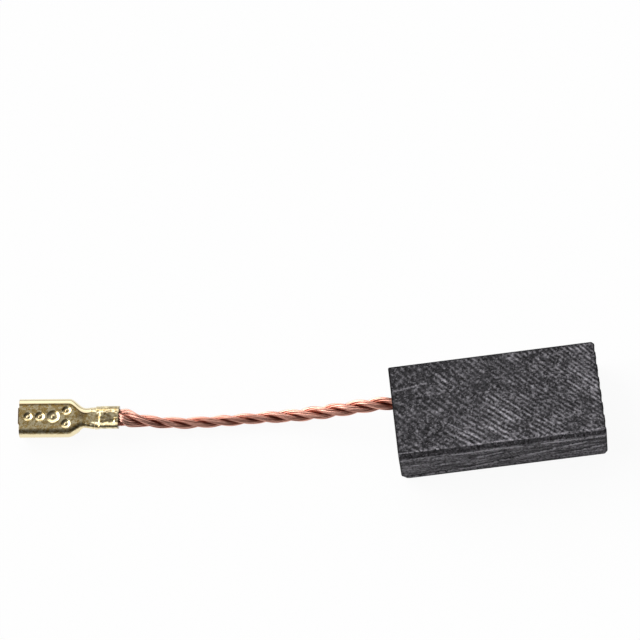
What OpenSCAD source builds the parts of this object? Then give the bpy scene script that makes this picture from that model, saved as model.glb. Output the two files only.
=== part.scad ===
// Carbon brush of a small commutator motor: a carbon block, its tamped copper
// lead and a folded brass receptacle terminal crimped on the lead's far end.
// Millimetres. The origin is the middle of the block's underside, +X runs along
// the block to its running face, and the lead leaves the rear face towards -X.

/* [Carbon block] */
// Length of the block, rear face to running face
block_l = 20.5; // [16:0.5:30]
// Width of the block
block_w = 10; // [8:0.5:14]
// Thickness of the block, the height it lies at
block_t = 5; // [4.5:0.25:8]
// Bevel along the top front edge, at the rear end
bevel_rear = 0.45; // [0.2:0.05:0.8]
// Bevel along the top front edge, at the running end
bevel_running = 0.28; // [0.2:0.02:0.8]
// Break along the other long edges
edge_break = 0.12; // [0.05:0.01:0.3]
// Corner radius at the running end, seen from above
corner_running_r = 0.35; // [0.1:0.05:0.5]
// Corner radius at the rear end, seen from above
corner_rear_r = 0.16; // [0.1:0.02:0.5]

/* [Running face] */
// Distance between neighbouring bedding grooves
groove_pitch = 1.38; // [1:0.02:2]
// Width of a groove at the face
groove_w = 0.7; // [0.3:0.05:0.9]
// Depth of a groove
groove_depth = 0.12; // [0.05:0.01:0.2]

/* [Lead joint] */
// Diameter of the hole that the lead is tamped into
hole_d = 2; // [1.8:0.1:2.6]
// Depth of the full width of the hole
hole_depth = 6; // [4:0.5:9]
// Point angle of the drill
drill_point = 118; // [90:1:135]
// Distance of the hole from the middle of the rear face, off the spring's seat
hole_offset = 2.3; // [1.5:0.1:2.8]
// Height of the hole above the block's underside
hole_height = 2.5; // [1.8:0.1:2.8]
// Powder left under the lead's end
powder_under = 0.5; // [0.2:0.1:1]

/* [Lead] */
// Diameter round the lead's twisted strands
lead_d = 1.35; // [1:0.05:1.6]

/* [Receptacle] */
// Thickness of the brass sheet
sheet_t = 0.3; // [0.25:0.01:0.32]
// Width of the male tab that it takes
tab_w = 2.8; // [2:0.1:3]
// Thickness of that tab
tab_t = 0.5; // [0.4:0.05:0.6]
// Width over the rolled edges
body_w = 4.1; // [3.9:0.1:4.6]
// Height over the rolled edges
body_h = 1.8; // [1.7:0.05:2.1]
// Outer radius between the base and the sides
base_r = 0.65; // [0.5:0.05:0.75]
// Outer radius of the rolls' inner turn
roll_r = 0.5; // [0.4:0.02:0.55]
// Length of the straight rolled part
body_l = 4.95; // [4.9:0.05:7]
// How far the rolls run on into the shoulders
roll_runout = 0.45; // [0.2:0.05:0.8]
// Length of the shoulders
shoulder_l = 1.75; // [1.2:0.05:3]
// Width of the waist between the shoulders and the neck
waist_w = 2.26; // [1.9:0.02:2.4]
// Width of the neck where it meets the crimp
neck_w = 2.5; // [2.3:0.05:2.7]
// Length of the neck, from the waist to the crimp's slit
neck_l = 1; // [0.5:0.05:2]
// Width of the stub left where the carrier strip was cut off
stub_w = 1.7; // [1:0.1:2.4]
// Length of that stub
stub_l = 0.17; // [0.05:0.01:0.4]

/* [Contact dents] */
// Depth of the dents in the base
dent_depth = 0.12; // [0.05:0.01:0.15]
// Height of the bumps that they raise on the tab's side
bump_h = 0.08; // [0.02:0.01:0.1]
// Radius of the first dent behind the mouth
dent_1_r = 0.45; // [0.35:0.01:0.5]
// Its distance from the mouth
dent_1_x = 0.91; // [0.7:0.01:0.95]
// Radius of the second dent
dent_2_r = 0.49; // [0.4:0.01:0.55]
// Its distance from the mouth
dent_2_x = 2.13; // [2.02:0.01:2.2]
// Radius of the third dent
dent_3_r = 0.67; // [0.5:0.01:0.7]
// Its distance from the mouth
dent_3_x = 3.48; // [3.42:0.01:3.52]
// Radius of the two dents that stand side by side
twin_dent_r = 0.46; // [0.35:0.01:0.48]
// Their distance from the mouth
twin_dent_x = 4.8; // [4.72:0.01:4.82]
// Distance between their middles
twin_dent_gap = 1.44; // [1.1:0.02:1.6]

/* [Crimp] */
// Length of the crimp barrel
barrel_l = 2.35; // [1.8:0.05:4]
// Width of the closed barrel
barrel_w = 2.5; // [2.3:0.05:2.9]
// Height of the closed barrel
barrel_h = 1.05; // [1:0.05:1.5]
// Outer radius of its corners
barrel_r = 0.46; // [0.4:0.02:0.5]
// Length of the barrel's uncrimped entry, level with the neck
entry_l = 0.36; // [0.1:0.02:0.6]
// Length of the step from the entry up to the crimped part
step_l = 0.14; // [0.05:0.01:0.3]
// Height of that step
step_h = 0.15; // [0.05:0.01:0.2]
// Outer radius that its wings curl in with
wing_r = 0.34; // [0.31:0.01:0.4]
// Straight end of each wing, inside the strands
wing_end = 0.14; // [0.05:0.01:0.18]
// Gap between the two wings
wing_gap = 0.04; // [0.02:0.01:0.1]
// Slit between the neck's walls and the barrel
slit_l = 0.06; // [0.05:0.01:0.3]
// Width of the base that bridges the slit
bridge_w = 1.3; // [0.8:0.1:1.5]
// How far the terminal is turned from the block's length, in degrees
terminal_turn = 7.4; // [0:0.2:15]

/* [Hidden] */
$fn = 48;

// Overlap of a cutter with the open side of what it cuts
PAST = 1;
// Height of the lead's middle where it lies on the surface, just clear of it
lie = lead_d / 2 + 0.025;
// Height of the lead's middle in the crimp
crimp_z = body_h + step_h - barrel_h / 2;
// Height of the receptacle's base, underneath
base_z = body_h - sheet_t;
// Play between the tab and the ends of the rolls
TAB_PLAY = 0.02;
neck_end = body_l + shoulder_l + neck_l;
barrel_start = neck_end + slit_l;
crimp_start = barrel_start + entry_l + step_l;
terminal_l = barrel_start + barrel_l;
// Steps in a quarter bend of the sheet, sections along the shoulders and sides of the lead
BEND_STEPS = 8;
SHOULDER_STEPS = 16;
LEAD_SIDES = 8;
// Stations of a half section that the neck's walls keep: the first bend and a part of the second
WALL_STATIONS = BEND_STEPS + 4;

// The lead's way from the rear face to the crimp, chosen by hand: distance behind
// the face, distance aside from the hole towards +Y, and height
LEAD_ROUTE = [
    [0, 0, hole_height], [0.8, 0, hole_height], [1.8, 0.04, 2.47], [3, 0.12, 2.32],
    [4.3, 0.21, 2.06], [5.8, 0.34, 1.7], [7.6, 0.52, 1.28], [9.5, 0.71, 0.93],
    [11.5, 0.89, 0.75], [13.5, 1.03, lie], [15.5, 1.14, lie], [17.5, 1.25, lie],
    [19.5, 1.39, lie], [21.5, 1.6, 0.72], [23.5, 1.91, 0.83], [25.4, 2.3, 1.06],
    [26.45, 2.52, 1.25], [27.35, 2.7, crimp_z]
];
hole_mouth = [-block_l / 2, hole_offset, 0];
crimp_end = hole_mouth + way(LEAD_ROUTE[len(LEAD_ROUTE) - 1]);

// A step of the route as a vector
function way(step) = [-step[0], step[1], step[2]];

// Heading h, and the direction to its left
function ahead(h) = [cos(h), sin(h)];
function left(h) = [-sin(h), cos(h)];

// Stations [point, heading] down the middle of a bent sheet. Each move is a
// straight, then a bend to the right: [length, middle radius, angle]
function bent(moves, p, h = 0, i = 0) =
    i == len(moves) ? [] :
    let (m = moves[i],
         centre = p + m[0] * ahead(h) - m[1] * left(h),
         first = m[0] == 0 ? 1 : 0)
    concat(
        [for (k = [first : BEND_STEPS])
            let (g = h - m[2] * k / BEND_STEPS) [centre + m[1] * left(g), g]],
        bent(moves, centre + m[1] * left(h - m[2]), h - m[2], i + 1));

// The same stations with a last straight behind them
function with_end(stations, length) =
    let (last = stations[len(stations) - 1])
    concat(stations, [[last[0] + length * ahead(last[1]), last[1]]]);

// The face of a half section at distance d to the left of its middle
function face_of(stations, d) = [for (s = stations) s[0] + d * left(s[1])];
function mirrored(points) = [for (p = points) [-p[0], p[1]]];
function reversed(list) = [for (i = [len(list) - 1 : -1 : 0]) list[i]];

// A face over both halves, from one end of the sheet to the other
function whole(points) = concat(reversed(mirrored(points)), points);

// Half section of the receptacle: base, side and roll, for a width over the rolls
function rolled_half(width) =
    let (side_r = body_h - base_r,
         stations = bent([
             [width / 2 - base_r, base_r - sheet_t / 2, 90],
             [0, side_r - sheet_t / 2, 90],
             [0, roll_r - sheet_t / 2, 90]], [0, body_h - sheet_t / 2]))
    with_end(stations, base_z - bump_h - tab_t - TAB_PLAY - roll_r);

// Half section of the neck, whose walls stop where the rolls would turn under
function walled_half(width) = [for (i = [0 : WALL_STATIONS - 1]) rolled_half(width)[i]];

// Half section of the crimped barrel, its wing curled up into the strands
barrel_half = with_end(bent([
    [barrel_w / 2 - barrel_r, barrel_r - sheet_t / 2, 90],
    [barrel_h - 2 * barrel_r, barrel_r - sheet_t / 2, 90],
    [barrel_w / 2 - barrel_r - wing_r - wing_gap / 2, wing_r - sheet_t / 2, 90]],
    [0, body_h - sheet_t / 2]), wing_end);

// An even S from 0 to 1 over the given length
function even_s(x, length) = (1 - cos(180 * min(max(x / length, 0), 1))) / 2;

// Width of the sheet's outline at x behind the mouth: straight, in to the waist, out to the neck
function outline_w(x) =
    body_w + (waist_w - body_w) * even_s(x - body_l, shoulder_l)
    + (neck_w - waist_w) * even_s(x - body_l - shoulder_l, neck_l);

// Half section of the barrel, lifted by z
function lifted_barrel(z) = [for (s = barrel_half) [s[0] + [0, z], s[1]]];

// A flat shape drawn in Y and Z, drawn out along X
module along_x(from, to) {
    translate([from, 0, 0]) rotate([90, 0, 90]) linear_extrude(to - from) children();
}

// Flat shape of a bent sheet
module sheet_section(half) {
    polygon(concat(whole(face_of(half, sheet_t / 2)), reversed(whole(face_of(half, -sheet_t / 2)))));
}

// A bent sheet whose half sections [x, stations] change along X
module sheet_loft(sections) {
    rows = [for (s = sections) concat(whole(face_of(s[1], sheet_t / 2)), whole(face_of(s[1], -sheet_t / 2)))];
    n = len(rows[0]) / 2;
    last = len(sections) - 1;
    // Corner i of the outer or inner face in row j
    function out(j, i) = 2 * n * j + i;
    function inn(j, i) = 2 * n * j + n + i;
    function two(a, b, c, d) = [[a, b, c], [a, c, d]];
    polyhedron(
        points = [for (j = [0 : last]) for (p = rows[j]) [sections[j][0], p[0], p[1]]],
        faces = concat(
            [for (j = [0 : last - 1]) for (i = [0 : n - 2])
                each two(out(j, i), out(j, i + 1), out(j + 1, i + 1), out(j + 1, i))],
            [for (j = [0 : last - 1]) for (i = [0 : n - 2])
                each two(inn(j, i), inn(j + 1, i), inn(j + 1, i + 1), inn(j, i + 1))],
            [for (j = [0 : last - 1]) each concat(
                two(out(j, 0), out(j + 1, 0), inn(j + 1, 0), inn(j, 0)),
                two(out(j, n - 1), inn(j, n - 1), inn(j + 1, n - 1), out(j + 1, n - 1)))],
            [for (i = [0 : n - 2]) each concat(
                two(out(0, i), inn(0, i), inn(0, i + 1), out(0, i + 1)),
                two(out(last, i), out(last, i + 1), inn(last, i + 1), inn(last, i)))]));
}

// A round tube of few sides through points, square to given headings at both ends
module swept_tube(points, d, start, end) {
    last = len(points) - 1;
    function unit(v) = v / norm(v);
    function course(i) = i == 0 ? start : i == last ? end : unit(points[i + 1] - points[i - 1]);
    function ring(i) =
        let (side = unit(cross([0, 0, 1], course(i))), up = cross(course(i), side))
        [for (k = [0 : LEAD_SIDES - 1]) let (a = 360 * k / LEAD_SIDES)
            points[i] + d / 2 * (cos(a) * side + sin(a) * up)];
    function at(i, k) = LEAD_SIDES * i + k % LEAD_SIDES;
    polyhedron(
        points = [for (i = [0 : last]) each ring(i)],
        faces = concat(
            [[for (k = [0 : LEAD_SIDES - 1]) at(0, k)]],
            [for (i = [0 : last - 1]) for (k = [0 : LEAD_SIDES - 1])
                each [[at(i, k), at(i + 1, k), at(i + 1, k + 1)], [at(i, k), at(i + 1, k + 1), at(i, k + 1)]]],
            [[for (k = [LEAD_SIDES - 1 : -1 : 0]) at(last, k)]]));
}

// The drilled hole, with its point, from the rear face
module lead_hole(past = 0) {
    point_l = hole_d / 2 / tan(drill_point / 2);
    translate([-block_l / 2 - past, hole_offset, hole_height]) rotate([0, 90, 0]) {
        cylinder(d = hole_d, h = hole_depth + past);
        translate([0, 0, hole_depth + past]) cylinder(d1 = hole_d, d2 = 0, h = point_l);
    }
}

// What rounding to radius r takes off a corner at the origin that opens to +X and +Y
module corner_waste(r) {
    difference() {
        translate([-PAST, -PAST]) square(r + PAST);
        translate([r, r]) circle(r);
    }
}

// Outline of the block from above
module block_outline() {
    difference() {
        translate([-block_l / 2, -block_w / 2]) square([block_l, block_w]);
        for (s = [-1, 1]) scale([1, s]) {
            translate([-block_l / 2, -block_w / 2]) corner_waste(corner_rear_r);
            translate([block_l / 2, -block_w / 2]) scale([-1, 1]) corner_waste(corner_running_r);
        }
    }
}

// End view of the block, with its broken edges
module block_profile() {
    y = block_w / 2;
    b = edge_break;
    polygon([[-y + b, 0], [y - b, 0], [y, b], [y, block_t - b], [y - b, block_t],
             [-y, block_t], [-y, b]]);
}

// The bevel's waste: all above a plane that lies at 45 degrees along the top
// front edge and comes nearer to that edge towards the running end
module bevel_waste() {
    reach = 2 * block_l;
    taper = atan((bevel_rear - bevel_running) / sqrt(2) / block_l);
    translate([0, -block_w / 2, block_t]) rotate([45, 0, 0])
        translate([0, 0, -(bevel_rear + bevel_running) / 2 / sqrt(2)]) rotate([0, -taper, 0])
            translate([-reach / 2, -reach / 2, 0]) cube([reach, reach, reach]);
}

// Round-bottomed grooves across the running face, as many as its width takes
module bedding_grooves() {
    r = (pow(groove_w / 2, 2) + pow(groove_depth, 2)) / (2 * groove_depth);
    room = block_w - 2 * corner_running_r - groove_w;
    count = floor(room / groove_pitch) + 1;
    for (i = [0 : count - 1])
        translate([block_l / 2 + r - groove_depth, (i - (count - 1) / 2) * groove_pitch, -PAST])
            cylinder(r = r, h = block_t + 2 * PAST);
}

module carbon_block() {
    color("#3a393c") difference() {
        intersection() {
            linear_extrude(block_t) block_outline();
            along_x(-block_l / 2, block_l / 2) block_profile();
        }
        bevel_waste();
        bedding_grooves();
        lead_hole(PAST);
    }
}

// Copper powder rammed round the lead, filling the drilled hole
module tamping_plug() {
    color("#7a4a38") difference() {
        lead_hole();
        translate([-block_l / 2 - PAST, hole_offset, hole_height]) rotate([0, 90, 0])
            cylinder(d = lead_d, h = hole_depth - powder_under + PAST, $fn = LEAD_SIDES);
    }
}

// Places the terminal, which is drawn with its mouth at the origin and the crimp towards +X
module at_crimp() {
    translate([crimp_end[0], crimp_end[1], 0]) rotate([0, 0, -terminal_turn])
        translate([-terminal_l, 0, 0]) children();
}

// The lead from its end in the powder to the crimp, and its strands pressed into the barrel
module copper_lead() {
    section = lifted_barrel(step_h);
    lumen = face_of(section, -sheet_t / 2);
    wing_tip = face_of(section, sheet_t / 2)[len(section) - 1];
    inner_end = [-block_l / 2 + hole_depth - powder_under, hole_offset, hole_height];
    color("#b5654a") {
        swept_tube(concat([inner_end], [for (s = LEAD_ROUTE) hole_mouth + way(s)]), lead_d,
                   [-1, 0, 0], [-cos(terminal_turn), sin(terminal_turn), 0]);
        at_crimp() along_x(crimp_start, terminal_l)
            polygon(whole(concat(lumen, [wing_tip])));
    }
}

// Tool that presses one ring-shaped dent of outer radius r, with a boss in its middle
module dent_tool(r) {
    half_w = 0.4 * r;
    tool_r = (half_w * half_w + dent_depth * dent_depth) / (2 * dent_depth);
    translate([0, 0, body_h]) rotate_extrude()
        translate([r - half_w, tool_r - dent_depth]) intersection() {
            circle(tool_r);
            translate([-r + half_w, -tool_r]) square([2 * r, 2 * tool_r]);
        }
}

// The bump that a dent of radius r raises on the tab's side
module bump(r) {
    foot = 0.8 * r;
    ball_r = (foot * foot + bump_h * bump_h) / (2 * bump_h);
    translate([0, 0, base_z]) intersection() {
        translate([0, 0, ball_r - bump_h]) sphere(ball_r);
        translate([0, 0, -bump_h]) cylinder(r = foot, h = bump_h + sheet_t / 4);
    }
}

// Sets the five dents' places in the base: [x, y, radius]
DENTS = [
    [dent_1_x, 0, dent_1_r], [dent_2_x, 0, dent_2_r], [dent_3_x, 0, dent_3_r],
    [twin_dent_x, -twin_dent_gap / 2, twin_dent_r], [twin_dent_x, twin_dent_gap / 2, twin_dent_r]
];

// The terminal, folded from one sheet: base up, rolls and wings underneath
module receptacle_terminal() {
    roll_end = body_l + roll_runout;
    entry_end = barrel_start + entry_l;
    seat = 0.1;
    color("#b99a4e") at_crimp() {
        difference() {
            union() {
                along_x(0, body_l) sheet_section(rolled_half(body_w));
                sheet_loft([for (k = [0 : 3]) let (x = body_l + roll_runout * k / 3)
                    [x, rolled_half(outline_w(x))]]);
                sheet_loft([for (k = [0 : SHOULDER_STEPS])
                    let (x = roll_end + (neck_end - roll_end) * k / SHOULDER_STEPS)
                    [x, walled_half(outline_w(x))]]);
                along_x(neck_end - seat, barrel_start + seat)
                    translate([-bridge_w / 2, base_z]) square([bridge_w, sheet_t]);
                sheet_loft([[barrel_start, barrel_half], [entry_end, barrel_half],
                            [crimp_start, lifted_barrel(step_h)], [terminal_l, lifted_barrel(step_h)]]);
                translate([-stub_l, -stub_w / 2, base_z]) cube([stub_l + seat, stub_w, sheet_t]);
            }
            for (d = DENTS) translate([d[0], d[1], 0]) dent_tool(d[2]);
        }
        for (d = DENTS) translate([d[0], d[1], 0]) bump(d[2]);
    }
}

carbon_block();
tamping_plug();
copper_lead();
receptacle_terminal();
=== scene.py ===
"""Looks of a small motor's carbon brush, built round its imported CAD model.

The brush lies on a pale floor: a ground carbon block, three twisted strands of
fine copper wire tamped into its end, and a receptacle folded from one brass
sheet and crimped on the far end. Shapes are worked out in millimetres, in the
frame of the CAD model, and go into the meshes in metres.
"""

import enum
import logging
import math
from collections.abc import Mapping, Sequence
from dataclasses import dataclass
from typing import ClassVar

import bpy
import numpy as np
from mathutils import Matrix, Vector


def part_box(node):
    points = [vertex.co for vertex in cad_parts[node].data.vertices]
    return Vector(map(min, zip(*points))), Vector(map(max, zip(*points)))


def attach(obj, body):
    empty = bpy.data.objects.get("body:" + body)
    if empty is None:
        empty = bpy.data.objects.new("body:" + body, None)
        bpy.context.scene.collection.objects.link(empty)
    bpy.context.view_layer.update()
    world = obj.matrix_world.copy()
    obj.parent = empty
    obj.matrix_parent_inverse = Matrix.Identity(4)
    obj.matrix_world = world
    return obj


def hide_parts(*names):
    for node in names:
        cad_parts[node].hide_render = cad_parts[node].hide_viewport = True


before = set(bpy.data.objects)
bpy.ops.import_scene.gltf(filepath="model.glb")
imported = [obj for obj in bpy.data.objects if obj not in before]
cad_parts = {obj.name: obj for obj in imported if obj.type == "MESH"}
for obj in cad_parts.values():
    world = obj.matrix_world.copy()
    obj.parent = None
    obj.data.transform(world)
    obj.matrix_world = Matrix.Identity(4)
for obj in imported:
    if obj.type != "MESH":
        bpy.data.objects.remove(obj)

Array = np.ndarray
RGB = tuple[float, float, float]
MM = 0.001
log = logging.getLogger("carbon_brush")


class Slot(enum.Enum):
    """The record's material slots."""

    CARBON = "carbon"
    POWDER = "copper_powder"
    COPPER = "copper"
    BRASS = "brass"


# ---------------------------------------------------------------- shapes


def smooth_step(share: Array) -> Array:
    """0 up to 0, 1 from 1 on, and the even S 3s^2 - 2s^3 between them."""
    share = np.clip(share, 0.0, 1.0)
    return share * share * (3.0 - 2.0 * share)


def unit(vectors: Array) -> Array:
    """The vectors along the last axis, at length 1."""
    return vectors / np.maximum(np.linalg.norm(vectors, axis=-1, keepdims=True), 1e-12)


def bell(distance: Array, width: float) -> Array:
    """1 at no distance and 1/e at the width: exp(-(d/w)^2)."""
    return np.exp(-((distance / width) ** 2))


@dataclass(frozen=True)
class Wander:
    """Smooth random heights over a plane, from -1 to 1.

    Random values stand on the corners of a square lattice of side 1, and the
    even S blends the four round a point. Every octave halves side and height.
    """

    seed: int
    octaves: int = 1

    def at(self, x: Array, y: Array) -> Array:
        """Heights at points of the plane.

        Args:
            x: First coordinates, in cells of the lattice.
            y: Second coordinates, of a shape that goes with x.

        Returns:
            One height for each point.
        """
        x, y = np.broadcast_arrays(np.asarray(x, float), np.asarray(y, float))
        total, weight = np.zeros(x.shape), 0.0
        for octave in range(self.octaves):
            table = np.random.default_rng(self.seed + 101 * octave).uniform(-1, 1, (128, 128))
            a, b = x * 2**octave, y * 2**octave
            i, j = np.floor(a).astype(int), np.floor(b).astype(int)
            u, v = smooth_step(a - i), smooth_step(b - j)
            low = table[i % 128, j % 128] * (1 - u) + table[(i + 1) % 128, j % 128] * u
            high = table[i % 128, (j + 1) % 128] * (1 - u) + table[(i + 1) % 128, (j + 1) % 128] * u
            total += (low * (1 - v) + high * v) / 2**octave
            weight += 1 / 2**octave
        return total / weight


def grid_cells(numbers: Array, ring: bool = False) -> Array:
    """The four corners of every cell of a grid of point numbers.

    Args:
        numbers: Point numbers, rows by columns, with any leading axes.
        ring: Whether the last column joins the first again.

    Returns:
        One row of four point numbers for each cell.
    """
    if ring:
        numbers = np.concatenate([numbers, numbers[..., :1]], -1)
    corners = [numbers[..., :-1, :-1], numbers[..., :-1, 1:], numbers[..., 1:, 1:], numbers[..., 1:, :-1]]
    return np.stack(corners, -1).reshape(-1, 4)


def put_mesh(name: str, points: Array, quads: Array, triangles: Array | None = None,
             marks: Mapping[str, Array] | None = None) -> bpy.types.Object:
    """Makes a closed mesh object at the origin, its faces outwards.

    The sum of p0 . (p1 x p2) over the triangles is six times the volume: where
    it is below 0 every face is turned round.

    Args:
        name: The piece's name.
        points: Corner points in millimetres.
        quads: Four point numbers for each quad.
        triangles: Three point numbers for each triangle.
        marks: Named numbers, one for each point, kept as attributes.

    Returns:
        The object, linked to the scene.
    """
    triangles = np.zeros((0, 3), int) if triangles is None else triangles
    halves = np.concatenate([quads[:, [0, 1, 2]], quads[:, [0, 2, 3]], triangles])
    corner = points[halves] - points.mean(0)
    if np.einsum("ij,ij->i", corner[:, 0], np.cross(corner[:, 1], corner[:, 2])).sum() < 0:
        quads, triangles = quads[:, ::-1], triangles[:, ::-1]
    used, loops = np.unique(np.concatenate([quads.ravel(), triangles.ravel()]), return_inverse=True)
    mesh = bpy.data.meshes.new(name)
    mesh.vertices.add(len(used))
    mesh.vertices.foreach_set("co", (points[used] * MM).astype(np.float32).ravel())
    mesh.loops.add(len(loops))
    mesh.loops.foreach_set("vertex_index", loops.astype(np.int32).ravel())
    mesh.polygons.add(len(quads) + len(triangles))
    starts = np.concatenate([4 * np.arange(len(quads)), 4 * len(quads) + 3 * np.arange(len(triangles))])
    mesh.polygons.foreach_set("loop_start", starts.astype(np.int32))
    mesh.polygons.foreach_set("use_smooth", np.ones(len(starts), bool))
    for key, values in (marks or {}).items():
        layer = mesh.attributes.new(key, "FLOAT", "POINT")
        layer.data.foreach_set("value", values.ravel()[used].astype(np.float32))
    mesh.update(calc_edges=True)
    mesh.validate()
    made = bpy.data.objects.new(name, mesh)
    bpy.context.scene.collection.objects.link(made)
    return made


def even_curve(points: Array, step: float) -> Array:
    """A natural cubic curve through points, cut into even steps.

    Over each span of chord length h the curve is the cubic whose bends m at the
    two ends make slope and bend run on through every point.

    Args:
        points: The points that it goes through.
        step: About how long each step is.

    Returns:
        Points along the curve, both ends among them.
    """
    knots = np.concatenate([[0], np.cumsum(np.linalg.norm(np.diff(points, axis=0), axis=1))])
    h, n = np.diff(knots), len(points)
    rows = np.arange(1, n - 1)
    system, wanted = np.eye(n), np.zeros((n, 3))
    system[rows, rows - 1], system[rows, rows], system[rows, rows + 1] = h[:-1], 2 * (h[:-1] + h[1:]), h[1:]
    slopes = np.diff(points, axis=0) / h[:, None]
    wanted[1:-1] = 6 * np.diff(slopes, axis=0)
    bends = np.linalg.solve(system, wanted)
    t = np.linspace(0, knots[-1], 6000)
    k = np.clip(np.searchsorted(knots, t) - 1, 0, n - 2)
    u, v, span = (t - knots[k])[:, None], (knots[k + 1] - t)[:, None], h[k][:, None]
    curve = (bends[k] * v**3 + bends[k + 1] * u**3) / (6 * span)
    curve += (points[k] / span - bends[k] * span / 6) * v
    curve += (points[k + 1] / span - bends[k + 1] * span / 6) * u
    run = np.concatenate([[0], np.cumsum(np.linalg.norm(np.diff(curve, axis=0), axis=1))])
    wanted_run = np.linspace(0, run[-1], max(2, round(run[-1] / step) + 1))
    return np.stack([np.interp(wanted_run, run, curve[:, d]) for d in range(3)], -1)


# ------------------------------------------------------------- materials


class Link:
    """One output of a node. Operators on a number's link add Math nodes."""

    def __init__(self, nodes: "Nodes", socket: bpy.types.NodeSocket) -> None:
        """Wraps a socket of a tree."""
        self.nodes, self.socket = nodes, socket

    def maths(self, operation: str, *terms: "Link | float") -> "Link":
        """The result of one Math node on the terms."""
        made = self.nodes.add("ShaderNodeMath", {"operation": operation}, dict(enumerate(terms)))
        return Link(self.nodes, made.outputs[0])

    def __add__(self, other: "Link | float") -> "Link":
        """Sum."""
        return self.maths("ADD", self, other)

    def __radd__(self, other: float) -> "Link":
        """Sum, with the number first."""
        return self.maths("ADD", other, self)

    def __sub__(self, other: "Link | float") -> "Link":
        """Difference."""
        return self.maths("SUBTRACT", self, other)

    def __rsub__(self, other: float) -> "Link":
        """Difference, with the number first."""
        return self.maths("SUBTRACT", other, self)

    def __mul__(self, other: "Link | float") -> "Link":
        """Product."""
        return self.maths("MULTIPLY", self, other)

    def __rmul__(self, other: float) -> "Link":
        """Product, with the number first."""
        return self.maths("MULTIPLY", other, self)

    def __truediv__(self, other: "Link | float") -> "Link":
        """Quotient."""
        return self.maths("DIVIDE", self, other)

    def __rtruediv__(self, other: float) -> "Link":
        """Quotient, with the number first."""
        return self.maths("DIVIDE", other, self)

    def at_least(self, other: "Link | float") -> "Link":
        """The larger of the two."""
        return self.maths("MAXIMUM", self, other)

    def between(self, low: float, high: float) -> "Link":
        """0 at low, 1 at high, and an even S between them."""
        made = self.nodes.add("ShaderNodeMapRange", {"interpolation_type": "SMOOTHSTEP"},
                              {0: self, 1: low, 2: high})
        return Link(self.nodes, made.outputs[0])


class Nodes:
    """The node tree of a material or the world."""

    def __init__(self, owner: bpy.types.Material | bpy.types.World) -> None:
        """Empties the tree.

        Args:
            owner: What the tree belongs to.
        """
        owner.use_nodes = True
        self.tree = owner.node_tree
        self.tree.nodes.clear()

    def add(self, kind: str, settings: Mapping[str, object] | None = None,
            inputs: Mapping[int | str, object] | None = None) -> bpy.types.Node:
        """Adds a node.

        Args:
            kind: The node's type.
            settings: Its properties; "stops" are a ramp's (place, colour) pairs.
            inputs: Values or links of its sockets, by number or name.

        Returns:
            The node.
        """
        made = self.tree.nodes.new(kind)
        for key, value in (settings or {}).items():
            if key == "stops":
                ramp = made.color_ramp.elements
                for number, (place, colour) in enumerate(value):
                    stop = ramp[number] if number < 2 else ramp.new(place)
                    stop.position, stop.color = place, (*colour, 1.0)
            else:
                setattr(made, key, value)
        for key, value in (inputs or {}).items():
            socket = made.inputs[key]
            if isinstance(value, Link):
                self.tree.links.new(value.socket, socket)
            elif socket.type == "RGBA":
                socket.default_value = (*value, 1.0)
            else:
                socket.default_value = value
        return made

    def link(self, kind: str, settings: Mapping[str, object] | None = None,
             inputs: Mapping[int | str, object] | None = None, output: int | str = 0) -> Link:
        """Adds a node and gives one of its outputs."""
        return Link(self, self.add(kind, settings, inputs).outputs[output])

    def mix(self, factor: Link | float, first: Link | RGB, second: Link | RGB) -> Link:
        """A colour between two colours."""
        return self.link("ShaderNodeMix", {"data_type": "RGBA"}, {0: factor, 6: first, 7: second}, 2)

    def mark(self, name: str) -> Link:
        """A number that the mesh holds at its points."""
        return self.link("ShaderNodeAttribute", {"attribute_name": name}, output="Fac")

    def noise(self, size: float, detail: float = 2.0, stretch: RGB = (1.0, 1.0, 1.0),
              turn: float = 0.0) -> Link:
        """Noise on the object's own coordinates.

        Args:
            size: Size of its lumps in millimetres.
            detail: Its finer octaves.
            stretch: How much longer the lumps are along each axis.
            turn: Turn of the pattern about Z, in degrees.

        Returns:
            Its strength, about 0.5 on average.
        """
        place = self.link("ShaderNodeTexCoord", output="Object")
        place = self.link("ShaderNodeMapping", {"vector_type": "TEXTURE"},
                          {0: place, 2: (0.0, 0.0, math.radians(turn)), 3: stretch})
        values = {"Vector": place, "Scale": 1 / (size * MM), "Detail": detail}
        return self.link("ShaderNodeTexNoise", {}, values)

    def bump(self, height: Link, depth: float, strength: float = 1.0) -> Link:
        """A normal from heights of 0 to 1 that stand for a depth in millimetres."""
        values = {"Height": height, "Distance": depth * MM, "Strength": strength}
        return self.link("ShaderNodeBump", {}, values)

    def surface(self, **sockets: object) -> None:
        """Ends a material in one principled shader.

        Args:
            sockets: Values or links of its sockets; an underscore in a name stands for a space.
        """
        named = {key.replace("_", " "): value for key, value in sockets.items()}
        shader = self.link("ShaderNodeBsdfPrincipled", {}, named)
        self.add("ShaderNodeOutputMaterial", {}, {0: shader})

    def two_surfaces(self, output: str, share: Link, first: Link, second: Link) -> None:
        """Ends a tree in two shaders, mixed by a share.

        Args:
            output: Type of the output node.
            share: How much of the second one shows.
            first: One shader.
            second: The other.
        """
        mixed = self.link("ShaderNodeMixShader", {}, {0: share, 1: first, 2: second})
        self.add(output, {}, {0: mixed})


class Finish:
    """A surface finish: a named material, whose nodes each kind of finish adds."""

    name: ClassVar[str]

    def material(self) -> bpy.types.Material:
        """Builds the material.

        Returns:
            The material.
        """
        made = bpy.data.materials.new(self.name)
        self.paint(Nodes(made))
        return made

    def paint(self, n: Nodes) -> None:
        """Adds the nodes.

        Args:
            n: The material's empty tree.
        """
        raise NotImplementedError


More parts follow.
